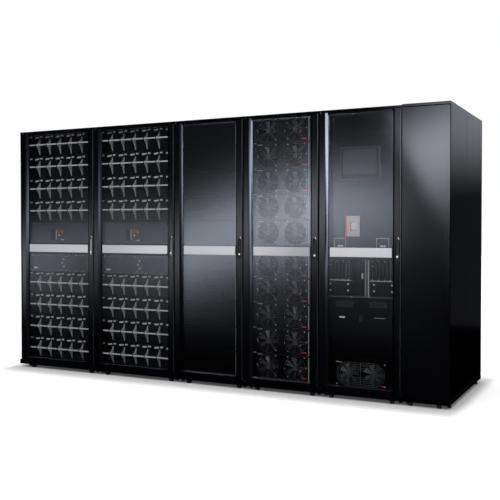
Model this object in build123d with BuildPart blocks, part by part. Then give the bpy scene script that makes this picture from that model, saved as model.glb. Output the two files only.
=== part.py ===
from build123d import *
from math import hypot
import os

os.makedirs("parts", exist_ok=True)

# Row of joined cabinets, in millimetres. X runs along the row, the front faces -Y, Z is up
# from the floor, and the origin is at the middle of the footprint.
row_depth = 1070.0
row_height = 1991.0
battery_width = 762.0
standard_width = 589.0
end_width = 321.0
end_rail = 12.0
side_skin = 6.0
first_width = end_rail + side_skin + battery_width
cabinet_widths = [first_width, battery_width] + [standard_width] * 3 + [end_width]
row_width = sum(cabinet_widths)
battery_cabinets = (0, 1)
filler_cabinet = 2
power_cabinet = 3
control_cabinet = 4
end_cabinet = 5
edges = [-row_width / 2 + sum(cabinet_widths[:i]) for i in range(len(cabinet_widths) + 1)]
seam = 2.0

front = -row_depth / 2
back = row_depth / 2
lever_proud = 3.0
face = front + lever_proud
left_end = edges[0] + end_rail
right_end = edges[-1]

# Base: plates on castors and levelling feet, with a skirt round them.
plinth_low = 28.0
plinth_high = 60.0
plate = 8.0
skirt = 4.0
wheel_radius = 25.0
wheel_width = 22.0
wheel_sides = 10
fork_wall = 4.0
fork_half = 12.5
fork_clear = 0.3
axle_radius = 4.0
castor_clear = 6.0
castor_inset = 78.0
castor_share = 0.2
castor_trails = [35.0, 35.0, 35.0, 25.0, 10.0, -10.0]
foot_radius = 14.0
foot_sides = 6
foot_pad = 12.0
stud_radius = 6.0
stud_sides = 4
foot_gap = 55.0
foot_share = 0.33

# Posts, roof and cladding.
post_width = 26.0
post_deep = 40.0
post_front = 36.0
roof = 12.0
end_roof_step = 5.0
roof_high = row_height - end_roof_step
rear_skin = 15.0
rear_border = 45.0
rear_recess = 3.0
panel_gap = 6.0
side_seam = 4.0
front_trim = 43.0
rear_trim = 132.0
slot_width = 10.0
slot_height = 142.0
slot_low = 965.0
slot_setback = 26.0
slot_depth = 3.0
trim_round = 4.0
end_bead = 16.0
end_groove = 2.0
end_groove_lines = 2

# Doors: a frame round a see-through pane, with a band and a pull lever.
door_gap = 6.0
door_depth = 26.0
hinge_stile = 70.0
bead = 22.0
bead_drop = 12.0
bead_crown = 1.0
bead_groove = 2.0
lock_stile = 45.0
rebate = 12.0
rebate_depth = 10.0
top_rail = 14.0
bottom_rail = 24.0
outer_round = 8.0
lock_round = 4.0
pane_setback = 16.0
pane = 4.0
band_low = 979.0
band_height = 64.0
band_thick = 8.0
pin_radius = 4.0
pin_inset = 10.0
pin_reach = 15.0
pin_bore_depth = 16.0
fit = 0.05

# Pull lever in its pocket in the lock stile.
pocket_width = 28.0
pocket_low = 955.0
pocket_height = 145.0
pocket_depth = 20.0
lever_width = 16.0
lever_thick = 8.0
lever_length = 126.0
lever_boss = 6.0
lever_boss_sides = 8
lever_pin = 2.5
lever_pin_seat = 5.0
lever_pin_end_clear = 1.0
lever_pin_height = 11.0

# Battery cabinets: eight shelves of six modules, four above the middle and four below.
fascia = 82.0
module_back = 430.0
row_pitch = 184.0
module_height = 174.0
row_clear = 14.0
lower_top = 808.0
rows_each = 4
columns = 6
battery_pitch = 112.0
battery_offset = -24.0
module_gap = 4.0
shelf = 6.0
bar_height = 10.0
bar_thick = 8.0
bar_drop = 84.0
bar_gap = 3.0
fin_thick = 6.0
fin_reach = 46.0
fin_waist = 0.42
fin_low = 10.0
fin_high = 30.0

# Middle of a battery cabinet.
panel_thick = 12.0
face_plate = 36.0
breaker_low = 1056.0
breaker_high = 1224.0
breaker_window_width = 155.0
breaker_window_offset = -13.0
breaker_window_height = 96.0
breaker_window_low = 1073.0
breaker_depth = 10.0
breaker_body_width = 111.0
breaker_body_thick = 8.0
breaker_body_clear = 4.0
breaker_body_side = 6.0
vent_low = 818.0
vent_high = 962.0
vent_field_low = 828.0
vent_field_high = 948.0
vent_field_depth = 3.0
vent_left_field = (-281.0, 38.0)
vent_right_field = (97.0, 294.0)
knob_count = 3
knob_radius = 6.0
knob_sides = 8
knob_thick = 6.0
knob_pitch = 30.0
knob_middle = 890.0
knob_inset = 16.0

# Power modules and filler plates, five above and five below the door band.
power_pitch = 183.0
power_gap = 4.0
power_clear = 11.0
power_lower_top = 1000.0
power_each = 5
fan_spacing = 211.0
fan_radius = 80.0
fan_sides = 16
fan_recess = 30.0
flange_offset = 211.0
flange_width = 10.0
flange_proud = 3.0
flange_inset = 6.0
hub_radius = 24.0
hub_depth = 20.0
hub_sides = 12
blade_count = 7
blade_thick = 2.5
blade_tilt = 32.0
blade_tip_gap = 5.0
blade_root_chord = 16.0
blade_tip_chord = 34.0
blade_root = 4.0
filler_depth = 18.0

# Controller cabinet.
display_drop = 233.0
display_width = 282.0
display_height = 216.0
display_offset = -9.0
screen_width = 233.0
screen_height = 168.0
screen_lift = 30.0
display_thick = 14.0
display_edge = 3.0
screen_recess = 4.0
screen_thick = 3.0
screen_clear = 0.3
control_plate = 58.0
control_low = 962.0
switch_width = 97.0
switch_height = 141.0
switch_drop = 254.0
switch_offset = -57.0
switch_depth = 17.0
switch_groove = 3.0
switch_groove_depth = 1.5
switch_groove_pitch = 15.0
switch_grooves = 5
toggle_width = 44.0
toggle_height = 48.0
toggle_thick = 9.0
toggle_offset = 14.0
toggle_edge = 2.5
cage_low = 816.0
cage_high = 956.0
cage_width = 162.0
cage_left_clear = 91.5
cage_right_clear = 11.5
cage_wall = 4.0
cage_depth = 60.0
card_count = 6
card_thick = 6.0
bay_low = 700.0
bay_post = 30.0
bay_post_offset = 34.0
bay_post_setback = 20.0
cover_low = 725.0
cover_high = 807.0
tray = 6.0
lower_panel_low = 285.0
drawer_low = 78.0
drawer_high = 279.0
drawer_fan_radius = 72.0
drawer_fan_spacing = 175.0
drawer_fan_lift = 97.0
drawer_fan_offset = -4.0
drawer_rim = 10.0

base_top = plinth_high
post_face = face + post_front
roof_low = roof_high - roof
door_bottom = base_top + panel_gap
door_top = roof_low - panel_gap
door_back = face + door_depth
upper_top = roof_low - row_clear
power_upper_top = roof_low - power_clear
control_high = power_upper_top


def block(x, y, z, mode=Mode.ADD):
    """A square-edged block between the two ends given on each axis."""
    with Locations(((x[0] + x[1]) / 2, (y[0] + y[1]) / 2, (z[0] + z[1]) / 2)):
        Box(x[1] - x[0], y[1] - y[0], z[1] - z[0], mode=mode)


def inner_span(index):
    """The clear width between the posts of one cabinet."""
    low = left_end + side_skin + post_width if index == 0 else edges[index] + post_width / 2
    high = edges[index + 1] - post_width / 2
    if index == end_cabinet:
        high = right_end - side_skin - post_width
    return low, high


def outer_span(index):
    """The full width of one cabinet, less half a seam where it meets its neighbour."""
    low = left_end if index == 0 else edges[index] + seam / 2
    high = right_end if index == end_cabinet else edges[index + 1] - seam / 2
    return low, high


def middle(index):
    return sum(inner_span(index)) / 2


def finish(part, label):
    part.label = label
    export_step(part, f"parts/{label}.step")


cabinets = range(len(cabinet_widths))

# Base plates, one under each cabinet.
with BuildPart() as base_plates:
    for i in cabinets:
        block(outer_span(i), (face + skirt, back - skirt), (plinth_high - plate, plinth_high))
finish(base_plates.part, "base_plates")

# Skirts along the front and the rear, and the end rails.
with BuildPart() as plinth_skirts:
    for i in cabinets:
        block(outer_span(i), (face, face + skirt), (plinth_low, plinth_high))
        block(outer_span(i), (back - skirt, back), (plinth_low, plinth_high))
finish(plinth_skirts.part, "plinth_skirts")

with BuildPart() as plinth_end_rails:
    block((edges[0], left_end), (face, back), (plinth_low, plinth_high + skirt))
    block(
        (right_end - skirt, right_end),
        (face + skirt, back - skirt),
        (plinth_low, plinth_high - plate),
    )
finish(plinth_end_rails.part, "plinth_end_rails")

castor_setback = skirt + wheel_radius + castor_clear
castor_front_y = face + castor_setback
castor_back_y = back - castor_setback
castor_places = []
foot_places = []
for i in cabinets:
    low, high = outer_span(i)
    inset = min(castor_inset, cabinet_widths[i] * castor_share)
    for y in (castor_front_y, castor_back_y):
        castor_places.append((low + inset + castor_trails[i], y))
        castor_places.append((high - inset + castor_trails[i], y))
        foot_y = y + (foot_gap if y < 0 else -foot_gap)
        foot_places.append((low + inset * foot_share, foot_y))
        foot_places.append((high - inset * foot_share, foot_y))

fork_inner = wheel_width / 2 + fork_clear
with BuildPart() as castor_wheels:
    for x, y in castor_places:
        with BuildSketch(Plane.YZ.offset(x - wheel_width / 2)):
            with Locations((y, wheel_radius)):
                flat_down = 90 - 180 / wheel_sides
                RegularPolygon(wheel_radius, wheel_sides, major_radius=False, rotation=flat_down)
        extrude(amount=wheel_width)
finish(castor_wheels.part, "castor_wheels")

with BuildPart() as castor_forks:
    for x, y in castor_places:
        for side in (-1, 1):
            near = x + side * fork_inner
            far = x + side * (fork_inner + fork_wall)
            block(
                (min(near, far), max(near, far)),
                (y - fork_half, y + fork_half),
                (wheel_radius - axle_radius, plinth_high - plate),
            )
finish(castor_forks.part, "castor_forks")

with BuildPart() as levelling_feet:
    with BuildSketch(Plane.XY):
        with Locations(*foot_places):
            RegularPolygon(foot_radius, foot_sides)
    extrude(amount=foot_pad)
    with BuildSketch(Plane.XY.offset(foot_pad)):
        with Locations(*foot_places):
            RegularPolygon(stud_radius, stud_sides)
    extrude(amount=plinth_high - plate - foot_pad)
finish(levelling_feet.part, "levelling_feet")

# Posts at each cabinet edge.
post_spans = [(left_end + side_skin, left_end + side_skin + post_width)]
post_spans += [(edge - post_width / 2, edge + post_width / 2) for edge in edges[1:-1]]
post_spans += [(right_end - side_skin - post_width, right_end - side_skin)]
with BuildPart() as front_posts:
    for span in post_spans:
        block(span, (post_face, post_face + post_deep), (base_top, roof_low))
finish(front_posts.part, "front_posts")

with BuildPart() as rear_posts:
    for span in post_spans:
        block(span, (back - rear_skin - post_deep, back - rear_skin), (base_top, roof_low))
finish(rear_posts.part, "rear_posts")

with BuildPart() as roof_panels:
    for i in cabinets:
        top = row_height if i == end_cabinet else roof_high
        block(outer_span(i), (face, back), (roof_low, top))
finish(roof_panels.part, "roof_panels")

with BuildPart() as rear_panels:
    for i in cabinets:
        low, high = outer_span(i)
        block((low, high), (back - rear_skin, back), (door_bottom, door_top))
        block(
            (low + rear_border, high - rear_border),
            (back - rear_recess, back),
            (door_bottom + rear_border, door_top - rear_border),
            mode=Mode.SUBTRACT,
        )
finish(rear_panels.part, "rear_panels")

# Side panels: two leaves at each end of the row, between the corner trims.
leaf_front = face + front_trim
leaf_back = back - rear_trim
leaf_middle = (leaf_front + leaf_back) / 2
leaf_spans = [
    (leaf_front + side_seam, leaf_middle - side_seam / 2),
    (leaf_middle + side_seam / 2, leaf_back - side_seam),
]
with BuildPart() as side_panels:
    for wall in ((left_end, left_end + side_skin), (right_end - side_skin, right_end)):
        for span in leaf_spans:
            block(wall, span, (base_top, roof_low))
    slot_y = leaf_middle + slot_setback
    for wall in ((left_end, left_end + slot_depth), (right_end - slot_depth, right_end)):
        block(
            wall,
            (slot_y - slot_width / 2, slot_y + slot_width / 2),
            (slot_low, slot_low + slot_height),
            mode=Mode.SUBTRACT,
        )
finish(side_panels.part, "side_panels")

with BuildPart() as corner_trims:
    for wall in ((left_end, left_end + side_skin), (right_end - side_skin, right_end)):
        block(wall, (face, leaf_front), (base_top, roof_low))
        block(wall, (leaf_back, back - rear_skin), (base_top, roof_low))
    outer_corners = corner_trims.edges().filter_by(Axis.Z).group_by(Axis.Y)[0].sort_by(Axis.X)
    chamfer([outer_corners[0], outer_corners[-1]], trim_round)
finish(corner_trims.part, "corner_trims")

# Doors of the first five cabinets, hinged on pins at their left edges.
door_spans = []
for i in range(end_cabinet):
    low = left_end + side_skin + door_gap if i == 0 else edges[i] + door_gap / 2
    door_spans.append((low, edges[i + 1] - door_gap / 2))
pin_y = face + pin_inset

with BuildPart() as hinge_pins:
    for low, high in door_spans:
        for start, length in (
            (base_top, panel_gap + pin_reach),
            (door_top - pin_reach, panel_gap + pin_reach),
        ):
            with BuildSketch(Plane.XY.offset(start)):
                with Locations((low + pin_inset, pin_y)):
                    Circle(pin_radius)
            extrude(amount=length)
finish(hinge_pins.part, "hinge_pins")


def hinge_stile_outline(low):
    """Plan outline of the hinge stile: a rounded outer edge and a slightly crowned, sloping bead."""
    flat_end = low + hinge_stile - bead - bead_groove
    high = low + hinge_stile
    slope = hypot(bead, bead_drop)
    crown = (
        high - bead / 2 + bead_crown * bead_drop / slope,
        face + bead_drop / 2 - bead_crown * bead / slope,
    )
    with BuildLine() as outline:
        Polyline(
            (low, face + outer_round),
            (low, door_back),
            (high, door_back),
            (high, face + bead_drop),
        )
        ThreePointArc((high - bead, face), crown, (high, face + bead_drop))
        Polyline(
            (high - bead, face),
            (high - bead, face + bead_groove),
            (flat_end, face + bead_groove),
            (flat_end, face),
            (low + outer_round, face),
        )
        TangentArc((low + outer_round, face), (low, face + outer_round), tangent=(-1, 0))
    return outline.line


def lock_stile_outline(high):
    """Plan outline of the lock stile, with its outer edge rounded."""
    low = high - lock_stile
    with BuildLine() as outline:
        Polyline(
            (high - lock_round, face),
            (low, face),
            (low, door_back),
            (high, door_back),
            (high, face + lock_round),
        )
        TangentArc((high, face + lock_round), (high - lock_round, face), tangent=(0, -1))
    return outline.line


def build_door(number, low, high):
    """One door: its frame, pane, band and pull lever."""
    pane_low = low + hinge_stile
    pane_high = high - lock_stile - rebate
    lever_x = high - lock_stile / 2
    pocket = (lever_x - pocket_width / 2, lever_x + pocket_width / 2)
    lever_z = pocket_low + lever_pin_height
    lever_y = face - lever_proud + lever_thick / 2 + lever_boss

    with BuildPart() as frame:
        with BuildSketch(Plane.XY.offset(door_bottom)):
            make_face(hinge_stile_outline(low))
            make_face(lock_stile_outline(high))
        extrude(amount=door_top - door_bottom)
        block((pane_high, high - lock_stile), (face + rebate_depth, door_back), (door_bottom, door_top))
        for rail in ((door_bottom, door_bottom + bottom_rail), (door_top - top_rail, door_top)):
            block((pane_low, pane_high), (face, door_back), rail)
        block(
            pocket,
            (face, face + pocket_depth),
            (pocket_low, pocket_low + pocket_height),
            mode=Mode.SUBTRACT,
        )
        with Locations(Location((lever_x, lever_y, lever_z), (0, 90, 0))):
            bore_length = pocket_width + 2 * (lever_pin_seat + lever_pin_end_clear)
            Cylinder(lever_pin + fit, bore_length, mode=Mode.SUBTRACT)
        for start in (door_bottom, door_top - pin_bore_depth):
            with Locations((low + pin_inset, pin_y, start + pin_bore_depth / 2)):
                Cylinder(pin_radius + fit, pin_bore_depth, mode=Mode.SUBTRACT)
    finish(frame.part, f"door_{number}_frame")

    pane_front = face + pane_setback
    with BuildPart() as glazing:
        block(
            (pane_low, pane_high),
            (pane_front, pane_front + pane),
            (door_bottom + bottom_rail, door_top - top_rail),
        )
    finish(glazing.part, f"door_{number}_pane")

    with BuildPart() as band:
        block(
            (pane_low, pane_high),
            (pane_front - band_thick, pane_front),
            (band_low, band_low + band_height),
        )
    finish(band.part, f"door_{number}_band")

    with BuildPart() as lever:
        with BuildSketch(Plane.YZ.offset(lever_x - lever_width / 2)):
            with BuildLine():
                Polyline(
                    (front, lever_z),
                    (front, lever_z + lever_length - lever_thick),
                    (front + lever_thick / 2, lever_z + lever_length),
                    (front + lever_thick, lever_z + lever_length),
                    (front + lever_thick, lever_z),
                    (front, lever_z),
                )
            make_face()
            with Locations((lever_y, lever_z)):
                RegularPolygon(lever_boss, lever_boss_sides, rotation=180 / lever_boss_sides)
        extrude(amount=lever_width)
        with Locations(Location((lever_x, lever_y, lever_z), (0, 90, 0))):
            Cylinder(lever_pin, pocket_width + 2 * lever_pin_seat)
    finish(lever.part, f"door_{number}_lever")
    return lever_x, lever_y, lever_z


lever_pivots = []
for i, (low, high) in enumerate(door_spans):
    lever_pivots.append(build_door(i + 1, low, high))

# Battery shelves, modules, bowed fins and handle bars.
fascia_y = face + fascia
row_tops = [upper_top - row_pitch * k for k in range(rows_each)]
row_tops += [lower_top - row_pitch * k for k in range(rows_each)]

with BuildPart() as battery_shelves:
    for i in battery_cabinets:
        for top in row_tops:
            bottom = top - module_height
            block(inner_span(i), (fascia_y, back - rear_skin), (bottom - shelf, bottom))
finish(battery_shelves.part, "battery_shelves")


def column_edges(index):
    start = middle(index) + battery_offset - battery_pitch * columns / 2
    return [start + battery_pitch * k for k in range(columns + 1)]


with BuildPart() as battery_modules:
    for i in battery_cabinets:
        centres = []
        for top in row_tops:
            for x in column_edges(i)[:-1]:
                centres.append((
                    x + battery_pitch / 2,
                    (fascia_y + module_back) / 2,
                    top - module_height / 2,
                ))
        with Locations(*centres):
            Box(battery_pitch - module_gap, module_back - fascia_y, module_height)
finish(battery_modules.part, "battery_modules")

with BuildPart() as battery_fins:
    for i in battery_cabinets:
        for top in row_tops:
            bar_z = top - bar_drop
            tip_y = fascia_y - fin_reach
            low_z = top - module_height + fin_low
            high_z = top - fin_high
            for x in column_edges(i)[1:-1]:
                with BuildSketch(Plane.YZ.offset(x - fin_thick / 2)):
                    with BuildLine():
                        Polyline(
                            (fascia_y, high_z),
                            (fascia_y, low_z),
                            (fascia_y - fin_reach * fin_waist, bar_z - (bar_z - low_z) * fin_waist),
                            (tip_y, bar_z - bar_height / 2),
                            (tip_y, bar_z + bar_height / 2),
                            (fascia_y - fin_reach * fin_waist, bar_z + (high_z - bar_z) * fin_waist),
                            (fascia_y, high_z),
                        )
                    make_face()
                extrude(amount=fin_thick)
finish(battery_fins.part, "battery_fins")

with BuildPart() as battery_bars:
    for i in battery_cabinets:
        centres = []
        for top in row_tops:
            for x in column_edges(i)[:-1]:
                centres.append((
                    x + battery_pitch / 2,
                    fascia_y - fin_reach - bar_thick / 2,
                    top - bar_drop,
                ))
        with Locations(*centres):
            Box(battery_pitch - bar_gap, bar_thick, bar_height)
finish(battery_bars.part, "battery_bars")

plate_y = face + face_plate
with BuildPart() as breaker_panels:
    for i in battery_cabinets:
        block(inner_span(i), (plate_y, plate_y + panel_thick), (breaker_low, breaker_high))
        window_x = middle(i) + breaker_window_offset
        block(
            (window_x - breaker_window_width / 2, window_x + breaker_window_width / 2),
            (plate_y, plate_y + breaker_depth),
            (breaker_window_low, breaker_window_low + breaker_window_height),
            mode=Mode.SUBTRACT,
        )
finish(breaker_panels.part, "breaker_panels")

with BuildPart() as battery_breakers:
    for i in battery_cabinets:
        window_high = middle(i) + breaker_window_offset + breaker_window_width / 2
        window_top = breaker_window_low + breaker_window_height
        recess_floor = plate_y + breaker_depth
        block(
            (window_high - breaker_body_side - breaker_body_width, window_high - breaker_body_side),
            (recess_floor - breaker_body_thick, recess_floor),
            (breaker_window_low + breaker_body_clear, window_top - breaker_body_clear),
        )
finish(battery_breakers.part, "battery_breakers")

with BuildPart() as vent_panels:
    for i in battery_cabinets:
        block(inner_span(i), (plate_y, plate_y + panel_thick), (vent_low, vent_high))
        field_middle = middle(i) + battery_offset
        for start, end in (vent_left_field, vent_right_field):
            block(
                (field_middle + start, field_middle + end),
                (plate_y, plate_y + vent_field_depth),
                (vent_field_low, vent_field_high),
                mode=Mode.SUBTRACT,
            )
finish(vent_panels.part, "vent_panels")

knob_centres = []
for i in battery_cabinets:
    strip_middle = middle(i) + battery_offset + (vent_left_field[1] + vent_right_field[0]) / 2
    for k in range(knob_count):
        step = k - (knob_count - 1) / 2
        knob_x = strip_middle - (knob_inset if step == 0 else 0)
        knob_centres.append((knob_x, knob_middle + step * knob_pitch))
with BuildPart() as breaker_knobs:
    with BuildSketch(Plane.XZ.offset(-plate_y)):
        with Locations(*knob_centres):
            RegularPolygon(knob_radius, knob_sides)
    extrude(amount=knob_thick)
finish(breaker_knobs.part, "breaker_knobs")

# Filler plates of the third cabinet.
power_tops = [power_upper_top - power_pitch * k for k in range(power_each)]
power_tops += [power_lower_top - power_pitch * k for k in range(power_each)]
with BuildPart() as filler_plates:
    for top in power_tops:
        block(
            inner_span(filler_cabinet),
            (plate_y, plate_y + filler_depth),
            (top - power_pitch + power_gap, top),
        )
finish(filler_plates.part, "filler_plates")

# Power modules of the fourth cabinet, each with two round fan recesses and a pull flange.
fan_centres = []
for top in power_tops:
    for side in (-1, 1):
        fan_x = middle(power_cabinet) + side * fan_spacing / 2
        fan_centres.append((fan_x, top - power_pitch / 2 + power_gap / 2))

flange_x = middle(power_cabinet) + flange_offset
with BuildPart() as power_modules:
    for top in power_tops:
        bottom = top - power_pitch + power_gap
        block(inner_span(power_cabinet), (plate_y, module_back), (bottom, top))
        block(
            (flange_x - flange_width / 2, flange_x + flange_width / 2),
            (plate_y - flange_proud, plate_y),
            (bottom + flange_inset, top - flange_inset),
        )
    with BuildSketch(Plane.XZ.offset(-plate_y)):
        with Locations(*fan_centres):
            RegularPolygon(fan_radius, fan_sides)
    extrude(amount=-fan_recess, mode=Mode.SUBTRACT)
finish(power_modules.part, "power_modules")


def build_rotors(centres, radius, floor_y):
    """Hubs with pitched blades, wider at their tips, their backs seated on the recess floors."""
    tip = radius - blade_tip_gap
    root = hub_radius - blade_root
    with BuildPart(mode=Mode.PRIVATE) as rotor:
        with BuildSketch():
            RegularPolygon(hub_radius, hub_sides)
        extrude(amount=hub_depth / 2, both=True)
        turns = [Location((0, 0, 0), (0, 0, 360 / blade_count * k)) for k in range(blade_count)]
        tilt = Location((0, 0, 0), (blade_tilt, 0, 0))
        with BuildSketch(*[Plane(turn * tilt) for turn in turns]):
            with BuildLine():
                Polyline(
                    (root, -blade_root_chord / 2),
                    (tip, -blade_tip_chord / 2),
                    (tip, blade_tip_chord / 2),
                    (root, blade_root_chord / 2),
                    close=True,
                )
            make_face()
        extrude(amount=blade_thick / 2, both=True)
    for x, z in centres:
        add(rotor.part.moved(Location((x, floor_y - hub_depth / 2, z), (90, 0, 0))))


with BuildPart() as module_fan_rotors:
    build_rotors(fan_centres, fan_radius, plate_y + fan_recess)
finish(module_fan_rotors.part, "module_fan_rotors")

# Controller cabinet.
control_y = face + control_plate
control_span = inner_span(control_cabinet)
control_x = middle(control_cabinet)
with BuildPart() as control_panel:
    block(control_span, (control_y, control_y + panel_thick), (control_low, control_high))
finish(control_panel.part, "control_panel")

display_x = control_x + display_offset
display_low = control_high - display_drop - display_height
with BuildPart() as display_bezel:
    block(
        (display_x - display_width / 2, display_x + display_width / 2),
        (control_y - display_thick, control_y),
        (display_low, display_low + display_height),
    )
    block(
        (display_x - screen_width / 2, display_x + screen_width / 2),
        (control_y - display_thick, control_y - display_thick + screen_recess),
        (display_low + screen_lift, display_low + screen_lift + screen_height),
        mode=Mode.SUBTRACT,
    )
    chamfer(display_bezel.faces().sort_by(Axis.Y)[0].outer_wire().edges(), display_edge)
finish(display_bezel.part, "display_bezel")

screen_floor = control_y - display_thick + screen_recess
with BuildPart() as display_screen:
    block(
        (display_x - screen_width / 2 + screen_clear, display_x + screen_width / 2 - screen_clear),
        (screen_floor - screen_thick, screen_floor),
        (
            display_low + screen_lift + screen_clear,
            display_low + screen_lift + screen_height - screen_clear,
        ),
    )
finish(display_screen.part, "display_screen")

switch_x = control_x + switch_offset
switch_low = display_low - switch_drop - switch_height
with BuildPart() as main_breaker:
    block(
        (switch_x - switch_width / 2, switch_x + switch_width / 2),
        (control_y - switch_depth, control_y),
        (switch_low, switch_low + switch_height),
    )
    for k in range(switch_grooves):
        groove_x = switch_x + (k - (switch_grooves - 1) / 2) * switch_groove_pitch
        block(
            (groove_x - switch_groove / 2, groove_x + switch_groove / 2),
            (control_y - switch_depth, control_y - switch_depth + switch_groove_depth),
            (switch_low, switch_low + switch_height),
            mode=Mode.SUBTRACT,
        )
finish(main_breaker.part, "main_breaker")

toggle_x = switch_x + toggle_offset
toggle_z = switch_low + switch_height / 2
with BuildPart() as breaker_toggle:
    block(
        (toggle_x - toggle_width / 2, toggle_x + toggle_width / 2),
        (control_y - switch_depth - toggle_thick, control_y - switch_depth),
        (toggle_z - toggle_height / 2, toggle_z + toggle_height / 2),
    )
    chamfer(breaker_toggle.faces().sort_by(Axis.Y)[0].edges(), toggle_edge)
finish(breaker_toggle.part, "breaker_toggle")

post_x = control_x + bay_post_offset
left_cage_end = post_x - bay_post / 2 - cage_left_clear
right_cage_start = post_x + bay_post / 2 + cage_right_clear
cage_spans = [
    (left_cage_end - cage_width, left_cage_end),
    (right_cage_start, right_cage_start + cage_width),
]

with BuildPart() as card_cages:
    for low, high in cage_spans:
        block((low, high), (control_y, control_y + cage_depth), (cage_low, cage_high))
        block(
            (low + cage_wall, high - cage_wall),
            (control_y, control_y + cage_depth - cage_wall),
            (cage_low + cage_wall, cage_high - cage_wall),
            mode=Mode.SUBTRACT,
        )
finish(card_cages.part, "card_cages")

with BuildPart() as interface_cards:
    for low, high in cage_spans:
        clear = cage_width - 2 * cage_wall
        for k in range(card_count):
            card_x = low + cage_wall + clear * (k + 0.5) / card_count
            block(
                (card_x - card_thick / 2, card_x + card_thick / 2),
                (control_y + card_thick, control_y + cage_depth - cage_wall),
                (cage_low + cage_wall, cage_high - cage_wall),
            )
finish(interface_cards.part, "interface_cards")

with BuildPart() as switch_bay:
    block(control_span, (control_y + cage_depth, control_y + cage_depth + panel_thick), (bay_low, control_low))
finish(switch_bay.part, "switch_bay")

with BuildPart() as bay_tray:
    block(control_span, (control_y, control_y + cage_depth), (bay_low, bay_low + tray))
finish(bay_tray.part, "bay_tray")

with BuildPart() as bay_divider:
    block(
        (post_x - bay_post / 2, post_x + bay_post / 2),
        (control_y + bay_post_setback, control_y + cage_depth),
        (bay_low + tray, control_low),
    )
finish(bay_divider.part, "bay_divider")

with BuildPart() as access_covers:
    for span in cage_spans:
        block(span, (control_y, control_y + cage_depth), (cover_low, cover_high))
finish(access_covers.part, "access_covers")

with BuildPart() as lower_panel:
    block(control_span, (control_y, control_y + panel_thick), (lower_panel_low, bay_low))
finish(lower_panel.part, "lower_panel")

drawer_z = drawer_low + drawer_fan_lift
drawer_fans = [(control_x + drawer_fan_offset + side * drawer_fan_spacing / 2, drawer_z) for side in (-1, 1)]
with BuildPart() as fan_drawer:
    block(control_span, (control_y, module_back), (drawer_low, drawer_high))
    with BuildSketch(Plane.XZ.offset(-control_y)):
        with Locations((control_x + drawer_fan_offset, drawer_z)):
            SlotCenterToCenter(drawer_fan_spacing, 2 * drawer_fan_radius + 2 * drawer_rim)
    extrude(amount=-fan_recess, mode=Mode.SUBTRACT)
finish(fan_drawer.part, "fan_drawer")

with BuildPart() as drawer_fan_rotors:
    build_rotors(drawer_fans, drawer_fan_radius, control_y + fan_recess)
finish(drawer_fan_rotors.part, "drawer_fan_rotors")

# Plain front of the narrow end cabinet, with two vertical grooves beside its outer corner.
end_low, end_high = edges[end_cabinet] + door_gap / 2, right_end - side_skin
with BuildPart() as end_panel:
    block((end_low, end_high), (face, door_back), (door_bottom, door_top))
    for k in range(end_groove_lines):
        groove = end_high - end_bead * (k + 0.5)
        block(
            (groove - end_groove / 2, groove + end_groove / 2),
            (face, face + end_groove),
            (door_bottom, door_top),
            mode=Mode.SUBTRACT,
        )
finish(end_panel.part, "end_panel")

for number, pivot in enumerate(lever_pivots, start=1):
    print("lever", number, "pivot", [round(value, 3) for value in pivot])
for number, (low, high) in enumerate(door_spans, start=1):
    print("door", number, "hinge", round(low + pin_inset, 3), round(pin_y, 3))
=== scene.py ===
from math import cos, pi, radians, sin

import bpy
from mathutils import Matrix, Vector


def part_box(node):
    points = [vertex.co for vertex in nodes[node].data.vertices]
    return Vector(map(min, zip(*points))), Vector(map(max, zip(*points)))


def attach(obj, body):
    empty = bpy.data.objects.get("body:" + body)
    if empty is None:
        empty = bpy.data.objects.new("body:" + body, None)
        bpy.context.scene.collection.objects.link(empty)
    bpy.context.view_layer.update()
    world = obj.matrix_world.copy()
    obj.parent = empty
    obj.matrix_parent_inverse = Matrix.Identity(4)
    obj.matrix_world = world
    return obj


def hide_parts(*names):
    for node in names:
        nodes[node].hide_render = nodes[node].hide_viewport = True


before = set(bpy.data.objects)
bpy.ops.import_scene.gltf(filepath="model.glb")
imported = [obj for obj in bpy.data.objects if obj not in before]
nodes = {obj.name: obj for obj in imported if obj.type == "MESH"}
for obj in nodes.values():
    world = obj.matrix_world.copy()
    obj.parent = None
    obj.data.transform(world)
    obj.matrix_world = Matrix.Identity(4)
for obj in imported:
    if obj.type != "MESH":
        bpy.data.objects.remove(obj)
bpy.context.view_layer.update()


# Reading places from the frame

def to_tenth(value):
    """A length in metres, rounded to a tenth of a millimetre."""
    return round(value, 4)


def solids(node):
    """The lowest and highest corner of each separate solid in a CAD node, in order of X then Z."""
    mesh = nodes[node].data
    groups = {}
    corner_of = [tuple(to_tenth(value) for value in vertex.co) for vertex in mesh.vertices]

    def root(corner):
        groups.setdefault(corner, corner)
        while groups[corner] != corner:
            groups[corner] = groups[groups[corner]]
            corner = groups[corner]
        return corner

    for polygon in mesh.polygons:
        first = root(corner_of[polygon.vertices[0]])
        for index in polygon.vertices[1:]:
            groups[root(corner_of[index])] = first
    boxes = {}
    for corner in corner_of:
        low, high = boxes.setdefault(root(corner), (list(corner), list(corner)))
        for axis in range(3):
            low[axis] = min(low[axis], corner[axis])
            high[axis] = max(high[axis], corner[axis])
    found = [(Vector(low), Vector(high)) for low, high in boxes.values()]
    return sorted(found, key=lambda pair: (round(pair[0].x, 3), pair[0].z))


# Shader maths

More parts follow.
